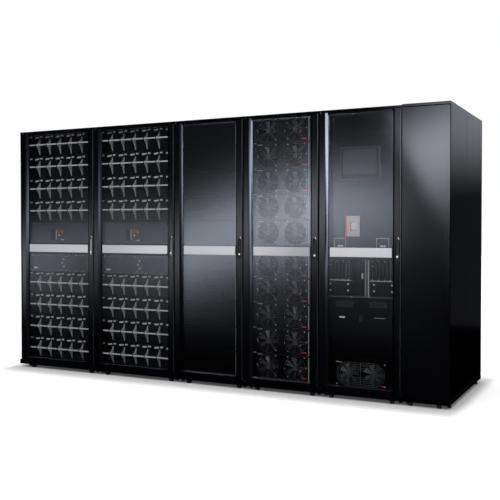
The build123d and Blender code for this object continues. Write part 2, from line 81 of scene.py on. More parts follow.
class Link:
    """A shader socket that takes part in plain arithmetic."""

    def __init__(self, finish, socket):
        self.finish = finish
        self.socket = socket

    def maths(self, operation, *values):
        return self.finish.node("ShaderNodeMath", {"operation": operation}, dict(enumerate(values)))

    def __add__(self, other):
        return self.maths("ADD", self, other)

    def __radd__(self, other):
        return self.maths("ADD", other, self)

    def __sub__(self, other):
        return self.maths("SUBTRACT", self, other)

    def __rsub__(self, other):
        return self.maths("SUBTRACT", other, self)

    def __mul__(self, other):
        return self.maths("MULTIPLY", self, other)

    def __rmul__(self, other):
        return self.maths("MULTIPLY", other, self)

    def __truediv__(self, other):
        return self.maths("DIVIDE", self, other)

    def __pow__(self, other):
        return self.maths("POWER", self, other)

    def __gt__(self, other):
        return self.maths("GREATER_THAN", self, other)

    def __lt__(self, other):
        return self.maths("LESS_THAN", self, other)

    def __mod__(self, other):
        return self.maths("FLOORED_MODULO", self, other)

    def __abs__(self):
        return self.maths("ABSOLUTE", self)

    def most(self, other):
        return self.maths("MAXIMUM", self, other)

    def between(self, low, high):
        """1 where the value lies between two ends, else 0."""
        return (self > low) * (self < high)

    def bell(self, width):
        """A smooth hump: 1 where the value is 0, and about 0.6 at width on either side."""
        natural_base = 2.718
        scaled = self / width
        return self.maths("POWER", natural_base, scaled * scaled * -0.5)

    def rise(self, low, high):
        """A smooth step from 0 at low to 1 at high."""
        return self.finish.node(
            "ShaderNodeMapRange", {"interpolation_type": "SMOOTHSTEP"}, {0: self, 1: low, 2: high}
        )


class Finish:
    """A node material: arithmetic on sockets, and any other node by one call."""

    def __init__(self, name, world=None):
        self.owner = world or bpy.data.materials.new(name)
        self.owner.use_nodes = True
        self.tree = self.owner.node_tree
        self.tree.nodes.clear()

    def node(self, kind, settings=None, sockets=None, out=0):
        """Adds a node, sets its settings, then fills or links its sockets, and gives one output."""
        node = self.tree.nodes.new(kind)
        for key, value in (settings or {}).items():
            if key == "stops":
                self.set_stops(node.color_ramp, value)
            else:
                setattr(node, key, value)
        for key, value in (sockets or {}).items():
            socket = node.inputs[key]
            if isinstance(value, Link):
                self.tree.links.new(value.socket, socket)
            else:
                socket.default_value = value
        return Link(self, node.outputs[out]) if node.outputs else node

    def set_stops(self, ramp, stops):
        while len(ramp.elements) < len(stops):
            ramp.elements.new(1.0)
        for element, (place, colour) in zip(ramp.elements, stops):
            element.position = place
            element.color = (*colour, 1.0)

    def place(self):
        return self.node("ShaderNodeTexCoord", out="Object")

    def axes(self):
        """The three Object coordinates, in metres."""
        place = self.place()
        return [self.node("ShaderNodeSeparateXYZ", sockets={0: place}, out=axis) for axis in range(3)]

    def noise(self, scale, detail, stretch=(1.0, 1.0, 1.0)):
        """Soft noise from 0 to 1, with its features about 1 / scale metres across."""
        spot = self.node("ShaderNodeMapping", sockets={"Vector": self.place(), "Scale": stretch})
        return self.node("ShaderNodeTexNoise", sockets={"Vector": spot, "Scale": scale, "Detail": detail})

    def blend(self, mask, first, second):
        """A colour that is first where mask is 0 and second where it is 1."""
        # The node's colour sockets share their names with others, so they go by number.
        first_socket, second_socket, colour_out = 6, 7, 2
        sockets = {"Factor": mask}
        for key, colour in ((first_socket, first), (second_socket, second)):
            sockets[key] = colour if isinstance(colour, Link) else (*colour, 1.0)
        return self.node("ShaderNodeMix", {"data_type": "RGBA"}, sockets, out=colour_out)

    def bump(self, height, depth):
        return self.node("ShaderNodeBump", sockets={"Distance": depth, "Height": height})

    def surface(self, colour, **sockets):
        """The finished surface: a colour and the principled shader's other sockets, by name."""
        values = {"Base Color": colour if isinstance(colour, Link) else (*colour, 1.0)}
        for key, value in sockets.items():
            values[key.title()] = value
        shader = self.node("ShaderNodeBsdfPrincipled", sockets=values)
        self.node("ShaderNodeOutputMaterial", sockets={"Surface": shader})
        return self.owner


# Grain is given per metre and relief in metres. A gloss value is how far roughness swings.
paint_grain, small_grain, moulded_grain, case_grain, soft_grain = 900.0, 600.0, 500.0, 400.0, 300.0
paint_relief, grain_gloss = 0.00004, 0.04
cloud_scale, cloud_detail, cloud_gloss = 3.0, 3.0, 0.06
cloud_low, cloud_high = 0.3, 0.7
line_grain, line_stretch, line_relief, line_gloss = 1400.0, 0.02, 0.00003, 0.12
line_low, line_high = 0.25, 0.75


class Paint(Finish):
    """Paint or moulded plastic: a fine even grain, cloudy tone and slightly uneven gloss."""

    def __init__(self, name, grain=paint_grain):
        super().__init__(name)
        self.fine = self.noise(grain, 2.0)
        self.cloud = self.noise(cloud_scale, cloud_detail)

    def tone(self, colour, shade):
        return self.blend(self.cloud.rise(cloud_low, cloud_high), colour, shade)

    def gloss(self, roughness, cloudy=cloud_gloss):
        return roughness + (self.cloud - 0.5) * cloudy + (self.fine - 0.5) * grain_gloss

    def relief(self, depth=paint_relief):
        return self.bump(self.fine, depth)


def coat(name, colour, shade, roughness, grain=paint_grain, depth=paint_relief, **more):
    """An even coat, between a colour and a near shade of it."""
    paint = Paint(name, grain)
    return paint.surface(
        paint.tone(colour, shade), roughness=paint.gloss(roughness), normal=paint.relief(depth), **more
    )


def brushed(name, colour, shade, roughness, along, metallic=1.0):
    """Metal with fine drawn lines along one axis."""
    stretch = [line_stretch if axis == along else 1.0 for axis in "xyz"]
    finish = Finish(name)
    lines = finish.noise(line_grain, 3.0, stretch)
    cloud = finish.noise(5.0, 2.0)
    tone = finish.blend(lines.rise(line_low, line_high) * 0.7 + cloud * 0.3, colour, shade)
    gloss = roughness + (lines - 0.5) * line_gloss
    return finish.surface(tone, roughness=gloss, metallic=metallic, normal=finish.bump(lines, line_relief))


black = (0.0006, 0.0007, 0.0016)
black_shade = (0.0010, 0.0012, 0.0024)
inner_black = (0.060, 0.062, 0.066)
inner_shade = (0.070, 0.072, 0.076)
painted_shadow_black = (0.0002, 0.0002, 0.0002)
door_gloss = 0.155

powder_coat = coat("powder_coat_black", black, black_shade, door_gloss)
rear_coat = coat("rear_coat_black", (0.026, 0.027, 0.031), (0.032, 0.033, 0.038), 0.30)
frame_steel = coat("frame_steel_black", (0.0012, 0.0013, 0.0018), (0.002, 0.002, 0.003), 0.42)
inner_panel = coat("inner_panel_black", inner_black, inner_shade, 0.16, metallic=1.0)
breaker_panel = coat("breaker_panel_black", (0.070, 0.073, 0.080), (0.080, 0.083, 0.090), 0.20, metallic=1.0)
filler_front = coat("filler_front_grey", (0.058, 0.060, 0.064), inner_shade, 0.16, metallic=1.0)
cover_grey = coat("cover_grey", inner_black, inner_shade, 0.22, metallic=1.0)

fin_grey = coat("fin_grey", (0.54, 0.62, 0.66), (0.62, 0.70, 0.74), 0.45, moulded_grain)
moulded_black = coat("moulded_black", (0.004, 0.004, 0.005), (0.006, 0.006, 0.007), 0.45, moulded_grain)
blade_grey = coat(
    "blade_grey", (0.060, 0.062, 0.068), (0.075, 0.077, 0.084), 0.40, moulded_grain, metallic=0.8
)
drawer_blade_grey = coat(
    "drawer_blade_grey", (0.050, 0.052, 0.055), (0.065, 0.067, 0.070), 0.35, moulded_grain, metallic=0.2
)
battery_case = coat("battery_case_black", (0.0035, 0.0038, 0.005), (0.005, 0.0054, 0.007), 0.28, case_grain)
screen_glass = coat(
    "screen_glass", (0.070, 0.082, 0.094), (0.080, 0.092, 0.104), 0.12, soft_grain, depth=0.0
)
tyre_rubber = coat("tyre_rubber", (0.006, 0.006, 0.006), (0.010, 0.010, 0.010), 0.6, soft_grain)

breaker_grey = coat("breaker_grey", (0.58, 0.60, 0.62), (0.64, 0.66, 0.68), 0.45, small_grain)
breaker_case = coat("breaker_case_dark", (0.035, 0.036, 0.04), (0.05, 0.05, 0.055), 0.4, small_grain)
pale_grey = coat("pale_grey_plastic", (0.78, 0.79, 0.81), (0.86, 0.87, 0.89), 0.4, small_grain)
white_plastic = coat("white_plastic", (0.82, 0.83, 0.84), (0.90, 0.90, 0.91), 0.4, small_grain)
signal_red = coat("signal_red", (0.88, 0.085, 0.035), (0.94, 0.11, 0.05), 0.4, small_grain)
signal_green = coat("signal_green", (0.04, 0.30, 0.17), (0.05, 0.36, 0.21), 0.4, small_grain)
lock_red = coat("lock_red", (0.05, 0.006, 0.006), (0.07, 0.009, 0.008), 0.35, small_grain)
lamp_red = coat("lamp_red_dark", (0.30, 0.02, 0.012), (0.36, 0.03, 0.018), 0.4, small_grain)
trim_grey = coat("trim_grey", (0.40, 0.41, 0.43), (0.48, 0.49, 0.51), 0.35, small_grain)
lever_grey = coat("lever_grey", (0.22, 0.225, 0.24), (0.26, 0.265, 0.28), 0.4, small_grain)
edge_grey = coat("edge_grey", (0.10, 0.105, 0.115), (0.13, 0.135, 0.145), 0.4, small_grain)
plate_dark = coat("plate_dark_grey", (0.010, 0.0105, 0.012), (0.014, 0.0145, 0.016), 0.35, small_grain)
cage_dark = coat("cage_dark", (0.010, 0.010, 0.012), (0.014, 0.014, 0.016), 0.4, small_grain)

bar_steel = brushed("bar_steel", (0.80, 0.81, 0.83), (0.90, 0.91, 0.93), 0.34, "x", 0.0)
screw_steel = brushed("screw_steel", (0.55, 0.56, 0.58), (0.68, 0.69, 0.71), 0.3, "x", 0.3)
wire_steel = brushed("wire_steel", (0.10, 0.10, 0.11), (0.15, 0.15, 0.16), 0.35, "x", 0.6)
bracket_steel = brushed("bracket_steel", (0.12, 0.12, 0.13), (0.18, 0.18, 0.19), 0.35, "z", 0.6)
zinc_plate = brushed("zinc_plate", (0.10, 0.10, 0.11), (0.16, 0.16, 0.17), 0.35, "z")


def band_coat(name, start, end, first, last):
    """Brushed silver of a door band, with painted light and shade: its grey goes from one value at its hinge
    end to another at its lock end.
    """
    finish = Finish(name)
    x, _, _ = finish.axes()
    lines = finish.noise(line_grain, 3.0, (line_stretch, 1.0, 1.0))
    # painted light and shade along the band, from its hinge end to its lock end
    along = x.rise(start, end)
    dark, pale = [
        finish.blend(along, *[(grey * part, grey * part * 0.995, grey * part) for grey in (first, last)])
        for part in (0.94, 1.06)
    ]
    tone = finish.blend(lines.rise(line_low, line_high), dark, pale)
    gloss = 0.36 + (lines - 0.5) * line_gloss
    return finish.surface(tone, roughness=gloss, metallic=0.45, normal=finish.bump(lines, line_relief))


def holes(x, z, pitch, core, rim):
    """1 inside round holes in square rows, 0 between them, with a soft step from core to rim."""
    across = abs((x / pitch) % 1.0 - 0.5)
    up = abs((z / pitch) % 1.0 - 0.5)
    return 1.0 - (across * across + up * up).rise(core, rim)


def pane_sheet(name, cover, painted_reflection):
    """Fine dark mesh sheet: rows of small holes that let part of the light through. Its metal grey, set door
    by door, is a painted reflection.
    """
    mesh_pitch = 0.006
    finish = Finish(name)
    x, _, z = finish.axes()
    hole = holes(x, z, mesh_pitch, 0.08, 0.16)
    cloud = finish.noise(2.0, 2.0)
    dark = [painted_reflection * 0.95, painted_reflection * 0.965, painted_reflection]
    pale = [painted_reflection * 1.03, painted_reflection * 1.045, painted_reflection * 1.08]
    tone = finish.blend(cloud, dark, pale)
    gloss = 0.15 + (cloud - 0.5) * 0.03
    return finish.surface(tone, roughness=gloss, metallic=1.0, alpha=cover + (0.5 - hole) * 0.06)


bead_wide, bead_lap = 0.022, 0.0005
pane_rebate, pane_lap = 0.012, 0.002
worn_edge = 0.004


def door_coat(name, pane_start, pane_end, door_end, bead_painted_sheen):
    """Door powder coat: satin metal on the curved bead before the pane, its grey a painted reflection set
    door by door; dead black in the rebate after it, a painted shadow; and a duller edge at the lock."""
    paint = Paint(name)
    x, _, _ = paint.axes()
    metal = x.between(pane_start - bead_wide, pane_start + bead_lap)
    shadow = x.between(pane_end - pane_lap, pane_end + pane_rebate)
    worn = x > door_end - worn_edge
    # painted reflection: the bead's grey, set door by door, stands in for how bright its reflection is
    tone = paint.blend(metal, paint.tone(black, black_shade), [bead_painted_sheen * 0.93, bead_painted_sheen * 0.97, bead_painted_sheen * 1.12])
    # painted shadow: the rebate after the pane is dead black, standing in for the shade there
    tone = paint.blend(shadow, tone, painted_shadow_black)
    gloss = paint.gloss(door_gloss, 0.05) + shadow * 0.3 + worn * 0.25
    return paint.surface(tone, roughness=gloss, metallic=metal * 0.95 + shadow, normal=paint.relief())


def module_coat(name, face_y, depth):
    """Grey front of a power module, darkening to black with depth in its fan recesses: painted shade."""
    paint = Paint(name)
    _, y, _ = paint.axes()
    recess_painted_shade = y.rise(face_y + depth * 0.1, face_y + depth * 0.9)
    # painted shade: the fan recesses turn near black with depth
    tone = paint.blend(recess_painted_shade, paint.tone((0.110, 0.112, 0.118), (0.125, 0.127, 0.133)), (0.012, 0.012, 0.013))
    return paint.surface(tone, roughness=paint.gloss(0.18), metallic=1.0, normal=paint.relief())


def vented_coat(name, fields, pitch):
    """Vent panel paint, with rows of small holes in the fields given as low and high corners, painted dark as
    the shade inside them.
    """
    finish = Finish(name)
    x, _, z = finish.axes()
    inside = None
    for low, high in fields:
        mask = x.between(low[0], high[0]) * z.between(low[1], high[1])
        inside = mask if inside is None else inside + mask
    hole = holes(x, z, pitch, 0.05, 0.09) * inside
    cloud = finish.noise(cloud_scale, cloud_detail)
    paint = finish.blend(cloud.rise(cloud_low, cloud_high), (0.095, 0.098, 0.106), (0.108, 0.111, 0.12))
    # painted shade: each hole is a dark spot in the paint, standing in for the shade inside it
    tone = finish.blend(hole, paint, (0.01, 0.01, 0.011))
    gloss = 0.24 + (cloud - 0.5) * cloud_gloss + hole * 0.3
    return finish.surface(tone, roughness=gloss, metallic=0.9, normal=finish.bump(1.0 - hole, 0.001))


# Dressing the CAD nodes

def dress(node, material):
    slots = nodes[node].data.materials
    slots.clear()
    slots.append(material)


row_low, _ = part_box("power_modules")
recess_depth = 0.03
battery_middles = (-1.4335, -0.678)
vent_low_z, vent_high_z = 0.828, 0.948
vent_spans = ((-0.281, 0.038), (0.097, 0.294))
vent_fields = [
    ((middle + start, vent_low_z), (middle + end, vent_high_z))
    for middle in battery_middles for start, end in vent_spans
]
finishes = {
    "base_plates": frame_steel, "plinth_skirts": powder_coat, "plinth_end_rails": powder_coat,
    "castor_wheels": tyre_rubber, "castor_forks": zinc_plate, "levelling_feet": zinc_plate,
    "front_posts": frame_steel, "rear_posts": frame_steel, "roof_panels": powder_coat,
    "rear_panels": rear_coat, "side_panels": powder_coat, "corner_trims": powder_coat,
    "hinge_pins": zinc_plate, "battery_shelves": frame_steel, "battery_modules": battery_case,
    "battery_fins": fin_grey, "battery_bars": bar_steel, "battery_breakers": breaker_case,
    "breaker_panels": breaker_panel, "breaker_knobs": breaker_grey,
    "vent_panels": vented_coat("vent_panel_black", vent_fields, 0.008),
    "filler_plates": filler_front,
    "power_modules": module_coat("module_front_grey", row_low.y, recess_depth),
    "module_fan_rotors": blade_grey, "drawer_fan_rotors": drawer_blade_grey,
    "control_panel": inner_panel, "display_bezel": moulded_black, "display_screen": screen_glass,
    "main_breaker": breaker_grey, "breaker_toggle": pale_grey, "card_cages": cage_dark,
    "interface_cards": cage_dark, "switch_bay": inner_panel, "access_covers": inner_panel,
    "bay_tray": bracket_steel, "bay_divider": bracket_steel, "lower_panel": inner_panel,
    "fan_drawer": inner_panel, "end_panel": powder_coat,
}
for node in nodes:
    if not node.startswith("door_"):
        dress(node, finishes[node])

# One value for each door, from the left.
# painted reflection: one pane grey per door, for how bright each pane mirrors the light
pane_painted_reflections = (0.10, 0.12, 0.32, 0.27, 0.20)
# painted reflection: one bead grey per door, for how bright each bead mirrors the light
bead_painted_sheens = (0.058, 0.042, 0.017, 0.045, 0.037)
# painted light and shade: each band's grey at its hinge end and at its lock end
band_painted_greys = ((0.57, 0.67), (0.55, 0.70), (0.60, 0.62), (0.58, 0.38), (0.60, 0.60))
lever_finishes = (lever_grey, edge_grey, moulded_black, moulded_black, moulded_black)
door_numbers = range(1, len(pane_painted_reflections) + 1)
pane_cover = 0.22
bands = {}
for number in door_numbers:
    pane_low, pane_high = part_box(f"door_{number}_pane")
    door_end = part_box(f"door_{number}_frame")[1].x
    frame_coat = door_coat(f"door_coat_{number}", pane_low.x, pane_high.x, door_end, bead_painted_sheens[number - 1])
    dress(f"door_{number}_frame", frame_coat)
    dress(f"door_{number}_pane", pane_sheet(f"pane_mesh_{number}", pane_cover, pane_painted_reflections[number - 1]))
    bands[number] = band_coat(f"band_silver_{number}", pane_low.x, pane_high.x, *band_painted_greys[number - 1])
    dress(f"door_{number}_band", bands[number])
    dress(f"door_{number}_lever", moulded_black)


# Modelling: primitives shaped in edit mode

front = Vector((0.0, -1.0, 0.0))
origin = (0.0, 0.0, 0.0)
quarter = pi / 2
broken_edge, boss_edge, screw_edge = 0.0005, 0.0006, 0.0007
strip_thick, tag_thick = 0.0015, 0.001
tag_border, tag_sunk, tag_edge = 0.0015, 0.0003, 0.0004
same_way = 0.999
weld_gap = 0.00002
smooth_below = radians(35.0)


def only(*pieces):
    """Selects just these pieces, the first of them active."""
    bpy.ops.object.select_all(action="DESELECT")
    for piece in pieces:
        piece.select_set(True)
    bpy.context.view_layer.objects.active = pieces[0]


def settle():
    bpy.ops.object.transform_apply(location=True, rotation=True, scale=True)


def pick(piece, test, kind="FACE"):
    """Enters edit mode with just the faces or corners selected whose place and normal pass a test."""
    only(piece)
    bpy.ops.object.mode_set(mode="EDIT")
    bpy.ops.mesh.select_mode(type=kind)
    bpy.ops.mesh.select_all(action="DESELECT")
    bpy.ops.object.mode_set(mode="OBJECT")
    if kind == "FACE":
        for face in piece.data.polygons:
            face.select = test(face.center, face.normal)
    else:
        for corner in piece.data.vertices:
            corner.select = test(corner.co, corner.normal)
    bpy.ops.object.mode_set(mode="EDIT")


def leave():
    bpy.ops.object.mode_set(mode="OBJECT")


def looks(facing):
    """A test for the faces that look one way."""
    return lambda centre, normal: normal.dot(facing) > same_way


def break_edges(piece, test, edge):
    """Bevels the edges of the faces that pass a test."""
    pick(piece, test)
    bpy.ops.mesh.bevel(offset=edge, segments=1, affect="EDGES")
    leave()
    return piece


def box(name, low, high, edge=broken_edge):
    """A box between two corners, with all its edges broken."""
    bpy.ops.object.select_all(action="DESELECT")
    bpy.ops.mesh.primitive_cube_add(size=1.0, location=(Vector(low) + Vector(high)) / 2)
    piece = bpy.context.object
    piece.name = name
    piece.scale = Vector(high) - Vector(low)
    settle()
    return break_edges(piece, lambda centre, normal: True, edge)


def press(piece, border, depth):
    """Insets the face that looks to the front and pushes it in, or out where the depth is below 0."""
    pick(piece, looks(front))
    bpy.ops.mesh.inset(thickness=border)
    bpy.ops.mesh.extrude_region_move(TRANSFORM_OT_translate={"value": front * -depth})
    leave()
    return piece


def plate(name, y, xs, zs, thick, border, depth, edge=broken_edge):
    """A plate that stands out from a front at y, between two X and two Z, its face pressed inside
    a border."""
    return press(box(name, (xs[0], y - thick, zs[0]), (xs[1], y, zs[1]), edge), border, depth)


def small_tag(name, y, xs, zs, border):
    """A thin blank tag, bar or lamp strip on a front."""
    return plate(name, y, xs, zs, tag_thick, border, tag_sunk, tag_edge)


def boss(name, place, radius, thick, sides=12, edge=boss_edge):
    """A round boss that stands out to the front from a place, with its front rim broken."""
    bpy.ops.object.select_all(action="DESELECT")
    middle = Vector(place) + front * (thick / 2)
    bpy.ops.mesh.primitive_cylinder_add(
        vertices=sides, radius=radius, depth=thick, location=middle, rotation=(quarter, 0.0, 0.0)
    )
    piece = bpy.context.object
    piece.name = name
    settle()
    return break_edges(piece, looks(front), edge)


def screw(name, radius=0.0045, thick=0.002):
    """A screw head round the origin, with a socket."""
    head = boss(name, origin, radius, thick, sides=8, edge=screw_edge)
    return press(head, radius * 0.4, thick * 0.6)


def wire_ring(name, place, radius, wire, stretch=0.0, steps=24):
    """A ring of round wire that faces the front, pulled out into an obround where stretch is over 0."""
    half = pi / steps
    bpy.ops.object.select_all(action="DESELECT")
    start = Vector(place) + Vector((radius * sin(half), 0.0, radius * cos(half)))
    bpy.ops.mesh.primitive_circle_add(
        vertices=5, radius=wire, location=start, rotation=(0.0, quarter + half, 0.0)
    )
    piece = bpy.context.object
    piece.name = name
    settle()
    bpy.ops.object.mode_set(mode="EDIT")
    bpy.ops.mesh.select_all(action="SELECT")
    bpy.ops.mesh.spin(steps=steps, angle=2 * pi, center=place, axis=(0.0, 1.0, 0.0))
    bpy.ops.mesh.select_all(action="SELECT")
    bpy.ops.mesh.remove_doubles(threshold=weld_gap)
    bpy.ops.mesh.normals_make_consistent(inside=False)
    leave()
    if stretch:
        for side in (-1, 1):
            pick(piece, lambda corner, normal: (corner.x - place[0]) * side > 0.0, "VERT")
            bpy.ops.transform.translate(value=(side * stretch / 2, 0.0, 0.0))
            leave()
    return piece


def turned(piece, angle, centre=origin):
    """Turns a piece about the axis from front to back through a centre."""
    pick(piece, lambda corner, normal: True)
    bpy.ops.transform.rotate(value=angle, orient_axis="Y", center_override=centre)
    leave()
    return piece


def joined(name, *pieces):
    only(*pieces)
    if len(pieces) > 1:
        bpy.ops.object.join()
    whole = bpy.context.object
    whole.name = name
    return whole


def scattered(piece, places):
    """Copies of a piece modelled round the origin, one at each place, joined under its name."""
    name = piece.name
    copies = []
    for place in places:
        copy = piece.copy()
        copy.data = piece.data.copy()
        copy.location = place
        bpy.context.scene.collection.objects.link(copy)
        copies.append(copy)
    bpy.data.objects.remove(piece)
    whole = joined(name, *copies)
    settle()
    return whole


def keep(piece, material, body="cabinet_row"):
    """Finishes a piece: its material, soft shading, and the body it rides on."""
    only(piece)
    piece.data.materials.clear()
    piece.data.materials.append(material)
    bpy.ops.object.shade_smooth_by_angle(angle=smooth_below)
    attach(piece, body)


# Battery cabinets: latch tabs, bar clips, breaker controls, vent panel fittings

fins = solids("battery_fins")
module_top_above_fin = 0.030
column_pitch, columns = 0.112, 5
fascia_y = fins[0][1].y
row_tops = sorted({to_tenth(high.z + module_top_above_fin) for low, high in fins})
fin_xs = sorted({to_tenth((low.x + high.x) / 2) for low, high in fins})
first_fins, last_fins = fin_xs[::columns], fin_xs[columns - 1::columns]


def battery_tabs():
    """Two pale latch tabs at the head of each battery module: a wide slanted one and a narrow one."""
    shape = {"thick": 0.006, "border": 0.003, "depth": 0.0015, "edge": 0.0015}
    slant = radians(5.0)
    wide_left, wide_down, narrow_right, narrow_down = 0.029, 0.016, 0.017, 0.011
    wide = turned(plate("battery_tabs_wide", 0.0, (-0.020, 0.020), (-0.0065, 0.0065), **shape), slant)
    narrow = plate("battery_tabs_narrow", 0.0, (-0.012, 0.012), (-0.006, 0.006), **shape)
    wide_xs = fin_xs + [x + column_pitch for x in last_fins]
    narrow_xs = fin_xs + [x - column_pitch for x in first_fins]
    wide_places = [(x - wide_left, fascia_y, top - wide_down) for top in row_tops for x in wide_xs]
    narrow_places = [(x + narrow_right, fascia_y, top - narrow_down) for top in row_tops for x in narrow_xs]
    keep(scattered(wide, wide_places), pale_grey)
    keep(scattered(narrow, narrow_places), pale_grey)


def bar_clips():
    """A black clip round each handle bar, at each fin."""
    bar_zs = sorted({to_tenth((low.z + high.z) / 2) for low, high in solids("battery_bars")})
    bar_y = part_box("battery_bars")[0].y
    clip = box("bar_clips", (-0.0042, -0.0008, -0.0062), (0.0042, 0.0085, 0.0062), 0.0010)
    places = [(x, bar_y, z) for z in bar_zs for x in fin_xs]
    keep(scattered(press(clip, 0.0012, 0.0006), places), moulded_black)


def breaker_controls():
    """Knob recess, trip strip, column, buttons, lamp, key and a blank tag on each battery breaker."""
    starts = [low for low, high in solids("battery_breakers")]
    floor_z = 1.077
    recess = box("breaker_recesses", (-0.036, 0.0, 0.002), (-0.002, 0.004, 0.086))
    column = plate("breaker_columns", 0.0, (0.010, 0.019), (0.006, 0.080), strip_thick, 0.002, 0.0007)
    controls = [
        (press(recess, 0.002, 0.0012), moulded_black),
        (box("breaker_strips", (0.009, -strip_thick, 0.083), (0.098, 0.0, 0.0865), tag_edge), signal_red),
        (column, trim_grey),
        (boss("close_buttons", (0.045, 0.0, 0.067), 0.0085, 0.003), signal_green),
        (boss("trip_buttons", (0.076, 0.0, 0.067), 0.0095, 0.003), signal_red),
        (boss("state_buttons", (0.045, 0.0, 0.041), 0.007, 0.003), white_plastic),
        (boss("ready_lamps", (0.077, 0.0, 0.044), 0.0035, 0.002), signal_green),
        (small_tag("breaker_tags", 0.0, (0.066, 0.094), (0.002, 0.009), tag_border), pale_grey),
        (boss("reset_keys", (0.045, 0.0, 0.014), 0.004, 0.002), breaker_case),
    ]
    for piece, material in controls:
        keep(scattered(piece, [(low.x, low.y, floor_z) for low in starts]), material)


def vent_fittings():
    """Screws round the vent panels' perforated fields, and a blank tag on each panel."""
    vent_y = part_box("vent_panels")[0].y
    strip_x, strip_half, strip_zs = 0.0675, 0.022, (0.833, 0.943)
    screw_xs, screw_zs = (0.125, 0.195, 0.265, -0.270, -0.120, 0.020), (0.823, 0.9545)
    tag_x, tag_back, tag_z = -0.2575, 0.003, 0.846
    places, tags = [], []
    for middle in battery_middles:
        strip = middle + strip_x
        places += [(strip + side * strip_half, vent_y, z) for side in (-1, 1) for z in strip_zs]
        places += [(middle + x, vent_y, z) for x in screw_xs for z in screw_zs]
        tags.append((middle + tag_x, vent_y + tag_back, tag_z))
    keep(scattered(screw("vent_screws", 0.0035), places), screw_steel)
    tag = plate("vent_tags", 0.0, (0.0, 0.040), (-0.007, 0.007), tag_thick, 0.002, 0.0004, tag_edge)
    keep(scattered(tag, tags), breaker_grey)


battery_tabs()
bar_clips()
breaker_controls()
vent_fittings()


# Third cabinet: a grey strip along the filler plates' edge, a painted highlight, and their turn fasteners

def filler_fittings():
    fillers = solids("filler_plates")
    trim_x, trim_wide, trim_thick = 0.2405, 0.004, 0.002
    left_in, right_x, up_in = 0.016, 0.262, 0.014
    # painted highlight: a grey strip where the plates' edge catches the light
    edge_highlights = [
        plate("trim", low.y, (trim_x, trim_x + trim_wide), (low.z + 0.002, high.z - 0.002), trim_thick,
              0.001, 0.0005)
        for low, high in fillers
    ]
    keep(joined("filler_edge_highlights", *edge_highlights), trim_grey)
    fastener = press(boss("filler_fasteners", origin, 0.005, 0.0016, 10), 0.0015, 0.0008)
    places = [
        (x, low.y, z) for low, high in fillers
        for x in (low.x + left_in, right_x) for z in (low.z + up_in, high.z - up_in)
    ]
    keep(scattered(fastener, places), blade_grey)


filler_fittings()


# Power modules: fan guards, screws, catches and lamps

modules = solids("power_modules")
plate_y = modules[0][0].y + 0.003


def fan_guard(name, radii, wire, hub):
    """Rings of wire on four stays round a small disc, drawn round the origin and facing front."""
    rings = [wire_ring("ring", (0.0, -wire, 0.0), radius, wire) for radius in radii]
    stays = []
    for step in range(4):
        stay = box("stay", (hub * 0.8, -wire, -wire), (radii[0], 0.0, wire), wire * 0.4)
        stays.append(turned(stay, quarter * (step + 0.5)))
    disc = boss("disc", origin, hub, wire * 2.5, 16)
    return joined(name, *rings, *stays, disc)


def fan_fittings():
    """Guards of the module fans; their rims, black as painted shadow; black strips in the gaps between
    modules as painted shade; and pale clips on the guards as painted highlights.
    """
    fan_xs, fan_down = (0.505, 0.716), 0.0895
    fans = [(x, plate_y, high.z - fan_down) for low, high in modules for x in fan_xs]
    guard = fan_guard("fan_guards", (0.083, 0.067, 0.051, 0.035), 0.0011, 0.018)
    keep(scattered(guard, fans), wire_steel)
    # painted shadow: the rim ring round each fan is black, for the shade at the recess edge
    rim = wire_ring("fan_rim_painted_shadows", origin, 0.0815, 0.0022, steps=32)
    keep(scattered(rim, fans), moulded_black)

    # painted shade: black strips over the gaps between modules, where shade falls
    seam_end, seam_thick, seam_edge = 0.8125, 0.0012, 0.0003
    gap_shadows = [
        box("seam", (low.x + 0.002, plate_y - seam_thick, low.z - 0.004), (seam_end, plate_y, low.z + 0.0015),
            seam_edge)
        for low, high in modules[1:]
    ]
    keep(joined("module_gap_shadows", *gap_shadows), moulded_black)
    # painted highlights: pale clips on the guards where their wires catch the light
    clip = plate("guard_painted_glints", 0.0, (-0.0035, 0.0035), (-0.0022, 0.0022), 0.0038, 0.0010, 0.0005, 0.0006)
    spots = [(-0.080, -0.005), (-0.064, 0.048), (0.047, -0.008), (0.047, 0.012)]
    places = [(x + across, y, z + up) for x, y, z in fans for across, up in spots]
    keep(scattered(clip, places), trim_grey)


def module_fittings():
    """Screws, catches, lamp and the edge cap of each power module."""
    spots = [(0.419, -0.081), (0.565, -0.009), (0.566, -0.153), (0.659, -0.009), (0.659, -0.152),
             (0.788, -0.009), (0.802, -0.081), (0.756, -0.107)]
    heads = [(x, plate_y, high.z + down) for low, high in modules for x, down in spots]
    keep(scattered(screw("module_screws"), heads), screw_steel)

    tops = [(0.0, plate_y, high.z) for low, high in modules]
    upper = plate("upper", 0.0, (0.422, 0.460), (-0.0065, -0.0030), 0.002, 0.001, 0.0004)
    lower = plate("lower", 0.0, (0.340, 0.410), (-0.1780, -0.1745), 0.002, 0.001, 0.0004)
    keep(scattered(joined("module_catches", upper, lower), tops), breaker_grey)
    lamps = plate("module_lamps", 0.0, (0.769, 0.803), (-0.1585, -0.1525), 0.0018, 0.0012, 0.0004, 0.0006)
    keep(scattered(lamps, tops), signal_red)

    flange_x, flange_back = 0.8215, 0.001
    cap = plate("flange_caps", 0.0, (-0.0035, 0.0035), (0.004, 0.175), 0.0012, 0.001, -0.0006)
    caps = [(flange_x, low.y + flange_back, low.z) for low, high in modules]
    keep(scattered(cap, caps), trim_grey)


fan_fittings()
module_fittings()


# Controller cabinet

def outline(name, low, high, wide, y, thick):
    """A thin picture frame round a rectangle given by its low and high X and Z."""
    piece = box(name, (low[0], y - thick, low[1]), (high[0], y, high[1]), 0.0001)
    pick(piece, lambda centre, normal: abs(normal.y) > same_way)
    bpy.ops.mesh.inset(thickness=wide, use_individual=True)
    bpy.ops.mesh.bridge_edge_loops()
    leave()
    return piece


